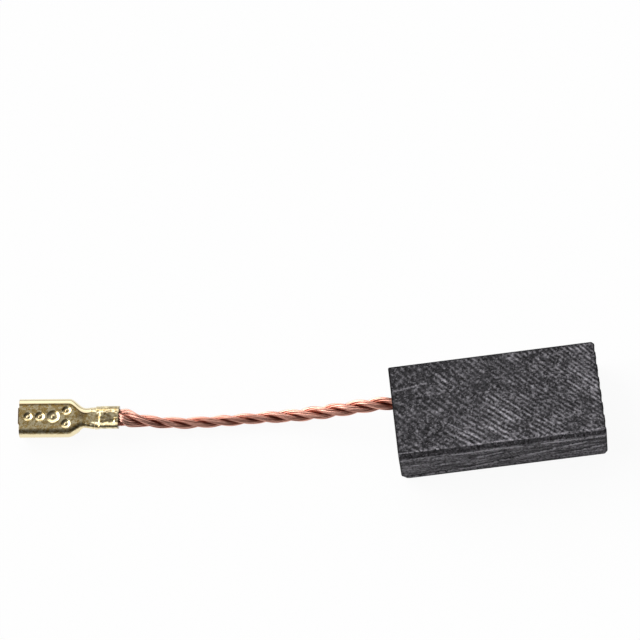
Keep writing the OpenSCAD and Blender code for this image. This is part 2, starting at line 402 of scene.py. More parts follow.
@dataclass(frozen=True)
class GroundCarbon(Finish):
    """Dark carbon graphite, ground dry: pale crests on its cutting marks, partly dust and partly painted
    highlight.
    """

    name: ClassVar[str] = "ground_carbon"
    dark: RGB = (0.006, 0.0058, 0.0066)
    pale: RGB = (0.50, 0.48, 0.52)
    roughness: float = 0.6

    def paint(self, n: Nodes) -> None:
        """Adds the nodes.

        Args:
            n: The material's empty tree.
        """
        marks, edge = n.mark("marks"), n.mark("edge")
        grain, cloud = n.noise(0.22, 3.0), n.noise(2.6, 2.0)
        specks = n.noise(0.16, 1.0).between(0.6, 0.72)
        fine = (grain - 0.5) * 5.0
        # The marks hold dust, painted highlight on crests and rims, and painted light and shade on the drawn
        # sides
        light = (marks * 0.8 + 0.06) * (1.0 + fine).at_least(0.0) + specks * 0.4 + (cloud - 0.5) * 0.1
        # Painted shade darkens the edges
        light = light * (1.0 - edge) * 0.66
        n.surface(
            Base_Color=n.mix(light, self.dark, self.pale),
            Roughness=self.roughness + (grain - 0.5) * 0.3 + edge * 0.2,
            IOR=1.17,
            Normal=n.bump(grain, 0.02, 0.8),
        )


@dataclass(frozen=True)
class RammedPowder(Finish):
    """Copper powder rammed hard: dull grains with a few bright ones."""

    name: ClassVar[str] = "rammed_powder"
    dull: RGB = (0.10, 0.045, 0.03)
    bright: RGB = (0.62, 0.27, 0.17)

    def paint(self, n: Nodes) -> None:
        """Adds the nodes.

        Args:
            n: The material's empty tree.
        """
        grain = n.noise(0.09, 2.0)
        shine = grain.between(0.5, 0.66)
        n.surface(Base_Color=n.mix(shine, self.dull, self.bright), Metallic=shine * 0.8 + 0.2,
                  Roughness=0.62 - shine * 0.2, Normal=n.bump(grain, 0.05))


@dataclass(frozen=True)
class DrawnCopper(Finish):
    """Fine copper wire, each wire of its own colour, with painted shade deep in the lay and a painted
    highlight near the crimp.
    """

    name: ClassVar[str] = "drawn_copper"
    bright: RGB = (0.87, 0.47, 0.37)
    brown: RGB = (0.34, 0.10, 0.065)
    roughness: float = 0.36

    def paint(self, n: Nodes) -> None:
        """Adds the nodes.

        Args:
            n: The material's empty tree.
        """
        tone_and_painted_light = n.mark("tone_and_painted_light") + (n.noise(0.9, 2.0) - 0.5) * 0.7
        n.surface(Base_Color=n.mix(tone_and_painted_light, self.brown, self.bright), Metallic=1.0,
                  Roughness=self.roughness + (n.noise(0.3) - 0.5) * 0.2)


@dataclass(frozen=True)
class RolledBrass(Finish):
    """Brass sheet with lines of rolling, stains on its flats, and darker places, most of them painted shade.
    """

    name: ClassVar[str] = "rolled_brass"
    clean: RGB = (0.89, 0.78, 0.51)
    stained: RGB = (0.40, 0.265, 0.08)
    # Colour of the painted shade, and of the darker sheared ends and crimp patches
    dark_stain_and_shade: RGB = (0.06, 0.026, 0.008)
    roughness: float = 0.1
    # The way that the terminal lies, in degrees
    turn: float = -7.4

    def paint(self, n: Nodes) -> None:
        """Adds the nodes.

        Args:
            n: The material's empty tree.
        """
        across = n.noise(0.2, 2.0, (1.6, 0.35, 1.0), self.turn)
        along = n.noise(0.14, 2.0, (0.2, 1.8, 1.0), self.turn)
        stain = n.noise(0.32, 3.0).between(0.38, 0.62)
        worked, flat = n.mark("worked"), n.mark("flat")
        dull = flat * (stain * 1.1 + 0.2 + (across + along - 1.0) * 3.4)
        height = n.noise(0.28, 2.0) * (1.0 + worked) + across + along
        # The shade mark mixes in painted shade from the dents, the waist and the far bend
        n.surface(
            Base_Color=n.mix(n.mark("shade"), n.mix(dull, self.clean, self.stained), self.dark_stain_and_shade),
            Metallic=1.0,
            Roughness=self.roughness + dull * 0.1,
            Normal=n.bump(height * (flat * 0.9 + 0.1), 0.0045),
        )


@dataclass(frozen=True)
class PaleFloor(Finish):
    """White board that shows white to the camera and in gloss, and keeps the shadow."""

    name: ClassVar[str] = "pale_floor"
    colour: RGB = (0.9, 0.9, 0.9)
    own_light: float = 0.94

    def paint(self, n: Nodes) -> None:
        """Adds the nodes.

        Args:
            n: The material's empty tree.
        """
        path = n.add("ShaderNodeLightPath")
        seen = Link(n, path.outputs["Is Camera Ray"]).at_least(Link(n, path.outputs["Is Glossy Ray"]))
        seen = seen.at_least(Link(n, path.outputs["Is Transmission Ray"]))
        board = n.link("ShaderNodeBsdfDiffuse", {}, {0: self.colour})
        white = n.link("ShaderNodeEmission", {}, {0: (1.0, 1.0, 1.0), 1: 1.0})
        n.two_surfaces("ShaderNodeOutputMaterial", seen * self.own_light, board, white)


def dress(piece: bpy.types.Object, material: bpy.types.Material, node: str) -> bpy.types.Object:
    """Gives a piece its material and its body, and hides the CAD node that it stands for.

    Args:
        piece: The new piece.
        material: Its finish.
        node: The CAD node.

    Returns:
        The piece.
    """
    piece.data.materials.append(material)
    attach(piece, "root")
    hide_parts(node)
    return piece


def report(piece: bpy.types.Object) -> None:
    """Logs a piece's name and how many faces it has."""
    log.info("%s: %d faces", piece.name, len(piece.data.polygons))


# ------------------------------------------------------------- terminal


@dataclass
class ReceptacleTerminal:
    """The folded brass receptacle, as one grid of the blank's length by its width.

    Its mouth is at x = 0 and its crimp towards +x until it is placed. Sizes are
    in millimetres.
    """

    sheet: float = 0.3
    body_w: float = 4.1
    height: float = 1.8
    base_r: float = 0.65
    roll_r: float = 0.5
    roll_tail: float = 0.4
    body_l: float = 4.95
    roll_end: float = 5.4
    shoulder_end: float = 6.7
    waist_w: float = 2.26
    neck_w: float = 2.5
    neck_end: float = 7.7
    barrel_start: float = 7.76
    crimp_start: float = 8.26
    step_l: float = 0.14
    step_h: float = 0.15
    lean: float = 0.3
    length: float = 10.11
    barrel_w: float = 2.5
    barrel_h: float = 1.05
    barrel_r: float = 0.46
    wing_r: float = 0.34
    wing_end: float = 0.14
    wing_gap: float = 0.04
    stub_l: float = 0.1
    turn: float = 7.4
    body_aside: float = 0.13
    sheared_edge: float = 0.035
    crimp_end: tuple[float, float] = (-37.6, 5.0)
    dents: tuple[tuple[float, float, float], ...] = (
        (0.91, -0.12, 0.45), (2.13, -0.12, 0.49), (3.48, -0.12, 0.67), (4.8, -0.92, 0.46), (4.8, 0.52, 0.46))
    dent_depth: float = 0.12
    bump_h: float = 0.08
    half_flat: int = 28
    # What the tools left: a short bar on the crimp, the fall beside the far bend, a groove
    # along both bends, a wander over the crimp, and the near bend pressed outward
    bar_at: tuple[float, float] = (9.78, -0.35)
    bar_h: float = 0.04
    bend_fall: float = 0.045
    groove_fall: float = 0.014
    wander_fall: float = 0.025
    near_bend_push: float = 0.22
    # Fall of the crimp's top from one side to the other, and where it starts
    hollow_start: float = 7.25
    hollow_at: tuple[float, ...] = (-1.06, -0.9, -0.6, 0.5, 1.0)
    hollow_fall: tuple[float, ...] = (0.0, -0.035, 0.04, 0.03, 0.13)
    # Middle of the painted shade at the waist, and where the far bend's painted dark line and the fall beside
    # it end
    waist_shade: float = 6.3
    bend_end: float = 7.4
    # Columns of the half section beside the flat: how many each bend or straight takes
    rolled_groups: tuple[int, ...] = (8, 3, 5, 8, 3)
    barrel_groups: tuple[int, ...] = (6, 2, 6, 5, 6, 2)
    # Cells of the stub on either side, and how many the neck's wall loses along its first millimetre
    stub_cells: int = 17
    wall_loss: int = 5

    def rows(self) -> Array:
        """The stations along x, with one at every change of the outline.

        Returns:
            Distances behind the mouth.
        """
        step = self.crimp_start - self.step_l
        spans = [(-self.stub_l, 0, 3), (0, self.roll_end, 104), (self.roll_end, self.neck_end, 44),
                 (self.neck_end, self.barrel_start, 3), (self.barrel_start, step, 8),
                 (step, self.crimp_start, 6), (self.crimp_start, self.length, 38)]
        return np.concatenate([np.linspace(a, b, n, endpoint=False) for a, b, n in spans] + [[self.length]])

    def half_flat_w(self, x: Array) -> Array:
        """Half the width of the flat, up to its bends, for every station.

        The width of the outline follows (1 + cos) / 2 in to the waist, and out again to the neck.

        Args:
            x: The stations.

        Returns:
            One half width for each station.
        """
        inward = np.clip((x - self.body_l) / (self.shoulder_end - self.body_l), 0, 1)
        outward = np.clip((x - self.shoulder_end) / (self.neck_end - self.shoulder_end), 0, 1)
        width = (self.body_w + (self.waist_w - self.body_w) * (1 - np.cos(np.pi * inward)) / 2
                 + (self.neck_w - self.waist_w) * (1 - np.cos(np.pi * outward)) / 2)
        in_barrel = x >= self.barrel_start - 1e-6
        return np.where(in_barrel, self.barrel_w / 2 - self.barrel_r, width / 2 - self.base_r)

    def half_section(self, x: Array) -> tuple[Array, Array]:
        """Middle line of the sheet from its centre to one edge, for every station.

        It is a running sum of short chords. A chord of a bend of radius r and
        turn a is 2 r sin(a/2) long and heads half a turn further on than the
        last; a chord of a straight keeps its heading.

        Args:
            x: The stations.

        Returns:
            Points (y, z) and headings, stations by columns.
        """
        half = self.sheet / 2
        side_r = self.height - self.base_r
        # Each group: (length of a straight or None, middle radius, whole turn in degrees)
        rolled = [(None, self.base_r - half, 90), (None, side_r - half, 33.75), (None, side_r - half, 56.25),
                  (None, self.roll_r - half, 90), (self.roll_tail, 0, 0)]
        barrel = [(None, self.barrel_r - half, 90), (self.barrel_h - 2 * self.barrel_r, 0, 0),
                  (None, self.barrel_r - half, 90),
                  (self.barrel_w / 2 - self.barrel_r - self.wing_r - self.wing_gap / 2, 0, 0),
                  (None, self.wing_r - half, 90), (self.wing_end, 0, 0)]

        def chords(groups: Sequence[tuple], counts: Sequence[int]) -> tuple[Array, Array]:
            """Lengths and turns of the chords of one kind of section.

            Args:
                groups: Its bends and straights.
                counts: How many chords each of them takes.

            Returns:
                Lengths and turns.
            """
            lengths, turns = [], []
            for (straight, radius, angle), count in zip(groups, counts):
                turn = math.radians(angle) / count
                chord = 2 * radius * math.sin(turn / 2) if straight is None else straight / count
                lengths += [chord] * count
                turns += [turn if straight is None else 0.0] * count
            return np.array(lengths), np.array(turns)

        in_barrel = (x >= self.barrel_start - 1e-6)[:, None]
        rolled_l, rolled_t = chords(rolled, self.rolled_groups)
        barrel_l, barrel_t = chords(barrel, self.barrel_groups)
        flats = (self.half_flat_w(x) / self.half_flat)[:, None] * np.ones(self.half_flat)
        length = np.concatenate([flats, np.where(in_barrel, barrel_l, rolled_l)], 1)
        turn = np.concatenate([np.zeros_like(flats), np.where(in_barrel, barrel_t, rolled_t)], 1)
        after = -np.cumsum(turn, 1)
        heading = after + turn / 2
        steps = np.stack([length * np.cos(heading), length * np.sin(heading)], -1)
        start = np.zeros((len(x), 1, 2))
        points = np.concatenate([start, np.cumsum(steps, 1)], 1)
        lift = self.step_h * smooth_step((x - self.crimp_start + self.step_l) / self.step_l)
        points[..., 1] += self.height - half + lift[:, None]
        return points, np.concatenate([np.zeros((len(x), 1)), after], 1)

    def kept_cells(self, x: Array, columns: int) -> Array:
        """Which cells of the whole grid are metal.

        The stub is narrow, the rolls end at roll_end, the neck keeps low walls,
        and only the flat bridges the slit in front of the barrel.

        Args:
            x: The stations.
            columns: Points across the whole sheet.

        Returns:
            True or False for each cell, stations by columns.
        """
        middle = (x[:-1] + x[1:]) / 2
        across = np.abs(np.arange(columns - 1) - (columns - 2) / 2)
        limit = np.full(len(middle), float(columns))
        limit[middle < 0] = self.stub_cells
        neck = (middle > self.roll_end) & (middle < self.neck_end)
        wall = self.half_flat + sum(self.rolled_groups[:2])
        limit[neck] = wall - self.wall_loss * smooth_step((middle[neck] - 5.7) / 1.0)
        limit[(middle > self.neck_end) & (middle < self.barrel_start)] = self.half_flat
        return across[None, :] < limit[:, None]

    def pressed(self, x: Array, y: Array) -> tuple[Array, Array, Array]:
        """How far the tools pressed the top and the tab's side down.

        Each dent is a bowl, 1 - (distance / radius)^2.6, round a small boss, and
        its bump is a low dome. The crimp has a short bar, a hollow and a fine
        wander. The sheet falls a little before the far bend, and a shallow
        groove runs along both bends of the body.

        Args:
            x: Distance behind the mouth.
            y: Distance from the middle.

        Returns:
            Fall of the top, fall of the tab's side, and how much the place was worked.
        """
        top, under, worked = np.zeros_like(x), np.zeros_like(x), np.zeros_like(x)
        for cx, cy, r in self.dents:
            d = np.hypot(x - cx, y - cy)
            top += self.dent_depth * (np.clip(1 - (d / r) ** 2.6, 0, 1) - 0.65 * bell(d, 0.32 * r))
            under += self.bump_h * np.clip(1 - (d / (0.8 * r)) ** 2, 0, 1)
            worked += bell(np.maximum(d - 0.7 * r, 0), 0.3 * r)
        crimp = smooth_step((x - self.barrel_start) / 0.15)
        top -= self.bar_h * bell(x - self.bar_at[0], 0.07) * bell(y - self.bar_at[1], 0.25)
        top += np.interp(y, self.hollow_at, self.hollow_fall) * smooth_step((x - self.hollow_start) / 0.2)
        beside = np.clip((y - self.half_flat_w(x)) / 0.26 + 0.4, 0, 1)
        top += self.bend_fall * beside * (1 - smooth_step((x - self.bend_end) / 0.3))
        top += self.groove_fall * bell(np.abs(y) - 1.1, 0.24) * smooth_step((5.6 - x) / 0.8)
        top += self.wander_fall * crimp * (Wander(5, 2).at(x / 0.33, y / 0.26) + 0.4)
        worked += smooth_step((x - 7.0) / 0.4)
        return top, under, np.clip(worked, 0, 1)

    def shade(self, x: Array, y: Array) -> Array:
        """Where the sheet is darker, mostly as painted shade.

        Painted shade lies on one side and the boss of each dent, round the waist,
        and as a line and a band along the far bend. The sheared ends and patches
        on the crimp are darker as well.

        Args:
            x: Distance behind the mouth.
            y: Distance from the middle.

        Returns:
            Darkness from 0 to 1.
        """
        dark = 0.8 * smooth_step(0.5 - x / 0.08) + 0.7 * bell(x - self.length, 0.05)
        # Painted shade on one side of each dent and on its boss
        for cx, cy, r in self.dents:
            dark = dark + 0.6 * bell(np.hypot(x - cx + 0.45 * r, y - cy - 0.4 * r), 0.4 * r)
            dark = dark + 0.6 * bell(np.hypot(x - cx, y - cy), 0.28 * r)
        # Painted shade round the waist
        dark = dark + 0.6 * bell(np.hypot((x - self.waist_shade) / 0.5, y / 0.4), 1.0)
        patches = np.clip(0.22 + 0.7 * Wander(6, 2).at(x / 0.4, y / 0.3), 0, 0.55)
        dark = dark + smooth_step((x - 8.0) / 0.3) * patches
        # A painted dark line and a band of painted shade along the far bend
        beside = y - self.half_flat_w(x)
        lines = 0.5 * bell(beside + 0.2, 0.09) + 0.45 * bell(beside - 0.04, 0.22)
        dark = dark + lines * smooth_step((self.bend_end - x) / 0.4)
        return np.clip(dark, 0, 1)

    def stained(self, x: Array, y: Array) -> Array:
        """Where the sheet is stained and lined: not on the far bend, and a fifth less on the near half.

        Args:
            x: Distance behind the mouth.
            y: Distance from the middle.

        Returns:
            Share from 0 to 1.
        """
        bend = smooth_step((y - self.half_flat_w(x) + 0.16) / 0.08) * smooth_step((self.bend_end - x) / 0.4)
        near = 0.2 * smooth_step(0.5 - y / 1.2) * smooth_step((7.0 - x) / 0.6)
        return (1 - bend) * (1 - near)

    def placed(self, local: Array) -> Array:
        """Turns points about Z and moves them so that the crimp's end meets the lead.

        The mouth is cut a little out of square, which fades over 2 mm, and the
        body stands a little aside of the neck.

        Args:
            local: Points from the middle of the mouth.

        Returns:
            The points in the object's frame.
        """
        a = math.radians(-self.turn)
        x, y = local[..., 0], local[..., 1]
        y = y + self.body_aside * (1 - smooth_step((x - 5) / 2))
        x = x + (0.03 - 0.045 * y) * (1 - smooth_step(x / 2)) - self.length
        return np.stack([self.crimp_end[0] + x * math.cos(a) - y * math.sin(a),
                         self.crimp_end[1] + x * math.sin(a) + y * math.cos(a), local[..., 2]], -1)

    def build(self, material: bpy.types.Material) -> bpy.types.Object:
        """Makes the piece: both faces of the sheet, half its thickness off the middle, and the rim.

        Args:
            material: The finish of its brass.

        Returns:
            The piece.
        """
        x = self.rows()
        half, heading = self.half_section(x)
        section = np.concatenate([half[:, :0:-1] * [-1, 1], half], 1)
        heading = np.concatenate([-heading[:, :0:-1], heading], 1)
        normal = np.stack([-np.sin(heading), np.cos(heading)], -1)
        rows, columns = heading.shape
        along = np.broadcast_to(x[:, None], (rows, columns))
        top, under, worked = self.pressed(along, section[..., 0])
        on_top = smooth_step((np.cos(heading) - 0.2) / 0.5)
        crimped = smooth_step((along - self.neck_end + 0.3) / 0.9)
        middle = self.height + self.step_h - self.barrel_h / 2
        # The crimp's tool presses the near bend outward, most at half its turn
        first_bend = (heading > 0) & (heading < math.pi / 2)
        squared = self.near_bend_push * np.sin(2 * heading) ** 2 * first_bend
        squared = squared * smooth_step((along - 5.8) / 1.6)
        faces = []
        for side, fall in ((0.5, top), (-0.5, under)):
            out = side * self.sheet - fall * on_top + max(side, 0) * squared
            skin = section + out[..., None] * normal
            skin[..., 0] -= self.lean * crimped * (skin[..., 1] - middle)
            faces.append(self.placed(np.concatenate([along[..., None], skin], -1)))
        keep = self.kept_cells(x, columns)
        numbers = np.arange(rows * columns).reshape(rows, columns)
        cells = grid_cells(numbers)[keep.ravel()]
        inner = rows * columns
        quads = [cells, cells[:, ::-1] + inner, *self.rim(numbers, keep, inner)]
        flat = on_top**4 * (1 - 0.45 * worked) * self.stained(along, section[..., 0])
        marks = {"worked": worked, "flat": flat, "shade": self.shade(along, section[..., 0])}
        points = np.concatenate([face.reshape(-1, 3) for face in faces])
        made = put_mesh("receptacle", points, np.concatenate(quads),
                        marks={key: np.concatenate([values.ravel()] * 2) for key, values in marks.items()})
        edges = made.modifiers.new("sheared_edges", "BEVEL")
        edges.width, edges.segments = self.sheared_edge * MM, 2
        edges.limit_method, edges.angle_limit = "ANGLE", math.radians(50)
        return dress(made, material, "receptacle_terminal")

    @staticmethod
    def rim(numbers: Array, keep: Array, inner: int) -> list[Array]:
        """Quads between the two faces, wherever metal has a neighbour cell of none.

        Args:
            numbers: Point numbers of the upper face, stations by columns.
            keep: Which cells are metal.
            inner: What turns an upper number into the lower one.

        Returns:
            Four arrays of quads, one for each side of a cell.
        """
        wide = np.pad(keep, 1)
        own = wide[1:-1, 1:-1]
        a, b, c, d = numbers[:-1, :-1], numbers[:-1, 1:], numbers[1:, 1:], numbers[1:, :-1]
        sides = ((wide[:-2, 1:-1], a, b), (wide[1:-1, 2:], b, c),
                 (wide[2:, 1:-1], c, d), (wide[1:-1, :-2], d, a))
        made = []
        for beside, p, q in sides:
            free = own & ~beside
            made.append(np.stack([q[free], p[free], p[free] + inner, q[free] + inner], -1))
        return made


# ----------------------------------------------------------------- lead


@dataclass
class TwistedLead:
    """Three strands of fine copper wire, twisted, from the powder to the crimp.

    Sizes are in millimetres. The route gives distance behind the rear face,
    distance aside from the hole, and height.
    """

    rear_face: float = -10.25
    hole_y: float = 2.3
    inner_end: tuple[float, float, float] = (-4.75, 2.3, 2.5)
    route: tuple[tuple[float, float, float], ...] = (
        (0, 0, 2.5), (0.8, 0, 2.5), (1.8, 0.04, 2.47), (3, 0.12, 2.32), (4.3, 0.21, 2.06), (5.8, 0.34, 1.7),
        (7.6, 0.52, 1.28), (9.5, 0.71, 0.93), (11.5, 0.89, 0.75), (13.5, 1.03, 0.7), (15.5, 1.14, 0.7),
        (17.5, 1.25, 0.7), (19.5, 1.39, 0.7), (21.5, 1.6, 0.72), (23.5, 1.91, 0.83), (25.4, 2.3, 1.06),
        (26.45, 2.52, 1.25), (27.35, 2.7, 1.425))
    crimped: float = 1.85
    turn: float = 7.4
    diameter: float = 1.35
    pitch: float = 6.95
    start: float = 0.76
    # How far a wire turns in its strand, in radians a millimetre
    wire_turn: float = 0.32
    strands: int = 3
    wires: int = 7
    wire_r: float = 0.118
    step: float = 0.17
    sides: int = 8
    core_sides: int = 12
    # Length of lead inside the block, and how thick the lead is by distance from the rear face
    inside: float = 5.5
    girth: tuple[tuple[float, float], ...] = (
        (0, 1.08), (6, 1.07), (10, 1.0), (14, 0.88), (22, 0.88), (25.5, 1.0))

    def centreline(self) -> Array:
        """Points down the middle of the lead, a step apart.

        Returns:
            The points, from the powder to the crimp.
        """
        way = np.array(self.route) * [-1, 1, 1] + [self.rear_face, self.hole_y, 0]
        a = math.radians(self.turn)
        inside = way[-1] + np.array([[0.5], [1.0]]) * self.crimped * np.array([-math.cos(a), math.sin(a), 0])
        return even_curve(np.concatenate([[self.inner_end], way, inside]), self.step)

    def spread(self, left: Array) -> tuple[Array, Array]:
        """How wide and how high the strands lie, as shares of the round lead.

        They flatten from 3.5 mm before the crimp, and fill the barrel's inside.

        Args:
            left: Length of lead left up to its crimped end.

        Returns:
            Share aside and share upwards.
        """
        near = smooth_step((4.95 - left) / 3.0)
        held = smooth_step((2.25 - left) / 0.5)
        return 1 + 0.42 * near - 0.05 * held + 0.22 * bell(left - 2.7, 0.7), 1 - 0.28 * near - 0.3 * held

    def strand_turn(self, s: Array, strand: Array) -> Array:
        """Where the strands stand round the lead: one turn each pitch, with a slow wander.

        Args:
            s: Run along the lead.
            strand: Numbers of the strands.

        Returns:
            Angles in radians.
        """
        wander = 0.12 * Wander(11).at(s / 4.0, strand * 3.3)
        return 2 * np.pi * (s / self.pitch + strand / self.strands) + wander + self.start

    def build(self, material: bpy.types.Material) -> tuple[bpy.types.Object, Array]:
        """Makes the piece.

        In the plane across the lead, a wire's skin is the sum of three turning
        arms: the strand's middle, one turn each pitch; the wire in its strand,
        which turns slowly the other way; and the circle of the wire. A core
        fills each strand behind its wires.

        Args:
            material: The finish of its wires.

        Returns:
            The piece, and its centreline in millimetres.
        """
        line = self.centreline()
        ahead = unit(np.gradient(line, axis=0))
        aside = unit(np.cross([0, 0, 1], ahead))
        upward = np.cross(ahead, aside)
        run = np.arange(len(line)) * np.linalg.norm(line[1] - line[0])
        slim = np.interp(run - self.inside, *zip(*self.girth))
        wide, high = (share * slim for share in self.spread(run[-1] - run))
        s, wide, high = (v[None, :, None] for v in (run, wide, high))
        middle, aside, upward = (v[None, :, None] for v in (line, aside, upward))

        def laid(across: Array, above: Array) -> Array:
            """Points so far aside of the middle line and above it, flattened where the lead is."""
            return middle + (across * wide)[..., None] * aside + (above * high)[..., None] * upward

        strand_r = self.diameter / 2 / (1 + 2 / math.sqrt(3))
        lay_r = self.diameter / 2 - strand_r
        counts = (np.arange(count) for count in (self.strands, self.wires, self.sides))
        strand, wire, side = (k.reshape(-1, 1, self.sides) for k in np.meshgrid(*counts, indexing="ij"))
        number = strand * self.wires + wire
        lay = self.strand_turn(s, strand)
        own = strand * 1.1 + 2 * np.pi * wire / self.wires - self.wire_turn * s
        own = own + 0.22 * Wander(12).at(s / 2.2, number * 1.7)
        reach = (strand_r - self.wire_r) * (1 + 0.16 * Wander(13).at(s / 1.6, number * 2.3))
        thick = self.wire_r * (1 + 0.06 * Wander(14).at(s / 5.0, number * 1.9))
        around = 2 * np.pi * side / self.sides
        wire_x = lay_r * np.cos(lay) + reach * np.cos(own)
        wire_y = lay_r * np.sin(lay) + reach * np.sin(own)
        skins = laid(wire_x + thick * np.cos(around), wire_y + thick * np.sin(around))
        tone_and_painted_light = 0.55 + 0.25 * np.sin(number * 2.4) + 0.2 * np.sin((number * self.sides + side) * 2.1)
        # Painted highlight on the wires near the crimp, and painted shade on the wires deep in the lay
        tone_and_painted_light = tone_and_painted_light * 0.9 + 0.25 + 0.5 * bell(run[-1] - s - 2.6, 0.9)
        tone_and_painted_light = tone_and_painted_light * smooth_step((np.hypot(wire_x, wire_y) - 0.22) / 0.3)
        turn = np.linspace(0, 2 * np.pi, self.core_sides, endpoint=False)[None, None, :]
        lay = self.strand_turn(s, np.arange(self.strands).reshape(-1, 1, 1))
        fill = strand_r - 1.1 * self.wire_r
        cores = laid(lay_r * np.cos(lay) + fill * np.cos(turn), lay_r * np.sin(lay) + fill * np.sin(turn))
        wires, wire_ends = self.tubes(skins, 0)
        filled, core_ends = self.tubes(cores, skins[..., 0].size)
        # The cores keep the darkest brown: painted shade between the wires
        made = put_mesh("twisted_lead", np.concatenate([skins.reshape(-1, 3), cores.reshape(-1, 3)]),
                        np.concatenate([wires, wire_ends, filled, core_ends]),
                        marks={"tone_and_painted_light": np.concatenate([tone_and_painted_light.ravel(), np.zeros(cores[..., 0].size)])})
        return dress(made, material, "copper_lead"), line

    @staticmethod
    def tubes(skins: Array, first: int) -> tuple[Array, Array]:
        """Quads of closed tubes: their walls, and ends cut into strips of quads.

        Args:
            skins: Points, tubes by stations by sides, of an even number of sides.
            first: Number of the first point.

        Returns:
            Quads of the walls and quads of the ends.
        """
        tubes, stations, sides = skins.shape[:3]
        numbers = first + np.arange(tubes * stations * sides).reshape(tubes, stations, sides)
        walls = grid_cells(numbers, ring=True)
        k = np.arange(sides // 2 - 1)
        strip = np.stack([k, k + 1, sides - 2 - k, sides - 1 - k], -1)
        near, far = numbers[:, 0][:, strip], numbers[:, -1][:, strip]
        return walls, np.concatenate([near[..., ::-1].reshape(-1, 4), far.reshape(-1, 4)])


# ---------------------------------------------------------------- block


@dataclass(frozen=True)
class CutMarks:
    """Marks of a cutting disc on a flat side: nearly parallel lines, with pale crests that are partly dust
    and partly painted highlight.

    The patches are places where the crests are paler: (first, second coordinate, width, strength).
    """

    spacing: float
    angle: float
    fan: float
    depth: float
    strength: float
    seed: int
    patches: tuple[tuple[float, float, float, float], ...] = ()

    def at(self, a: Array, b: Array) -> tuple[Array, Array]:
        """Fall of the surface, and the paleness of its crests.

        The phase of the lines is the way across them over the spacing, with a
        quadratic part that fans them out and closes them up, and a slow wander.
        Crests are (1/2 + cos/2)^2, and their paleness, partly dust and partly painted
        highlight, comes and goes in patches and in dashes along each line.

        Args:
            a: First coordinates on the side.
            b: Second coordinates.

        Returns:
            Fall below the crests, and their paleness from 0 to 1.
        """
        c, s = math.cos(math.radians(self.angle)), math.sin(math.radians(self.angle))
        along = b * c - a * s
        far = a * c + b * s + self.fan * (a * a / 2 + a * b - b * b / 2)
        phase = 2 * np.pi * far / self.spacing + 0.9 * Wander(self.seed, 2).at(a / 1.6, b / 1.6)
        crest = (0.5 + 0.5 * np.cos(phase)) ** 2
        patch = 0.30 + 0.25 * Wander(self.seed + 1, 2).at(a / 2.2, b / 2.2)
        for x, y, width, strength in self.patches:
            patch = patch + strength * bell(np.hypot(a - x, b - y), width)
        dashes = 0.85 + 1.2 * Wander(self.seed + 2, 2).at(along / 0.8, far / self.spacing / 1.1)
        level = np.clip(patch, 0.1, 1.2)
        rough = Wander(self.seed + 3, 2).at(a / 0.25, b / 0.25)
        fall = self.depth * (np.clip(level * 1.5, 0.3, 1) * (1 - crest) + 0.4 * rough)
        spots = np.clip(Wander(self.seed + 4, 1).at(a / 0.24, b / 0.24) - 0.15, 0, 1)
        return fall, np.clip(crest * level * np.clip(dashes, 0.15, 1.6) * self.strength + spots * 0.6, 0, 1.5)


def off_line(a: Array, b: Array, line: tuple[float, ...]) -> Array:
    """Distance of points on a side from a straight line.

    Args:
        a: First coordinates on the side.
        b: Second coordinates.
        line: First and second coordinates of its two ends, and then anything else.

    Returns:
        The distance, from the nearest end for points past it.
    """
    a0, b0, a1, b1 = line[:4]
    share = ((a - a0) * (a1 - a0) + (b - b0) * (b1 - b0)) / ((a1 - a0) ** 2 + (b1 - b0) ** 2)
    share = np.clip(share, 0, 1)
    return np.hypot(a - a0 - share * (a1 - a0), b - b0 - share * (b1 - b0))


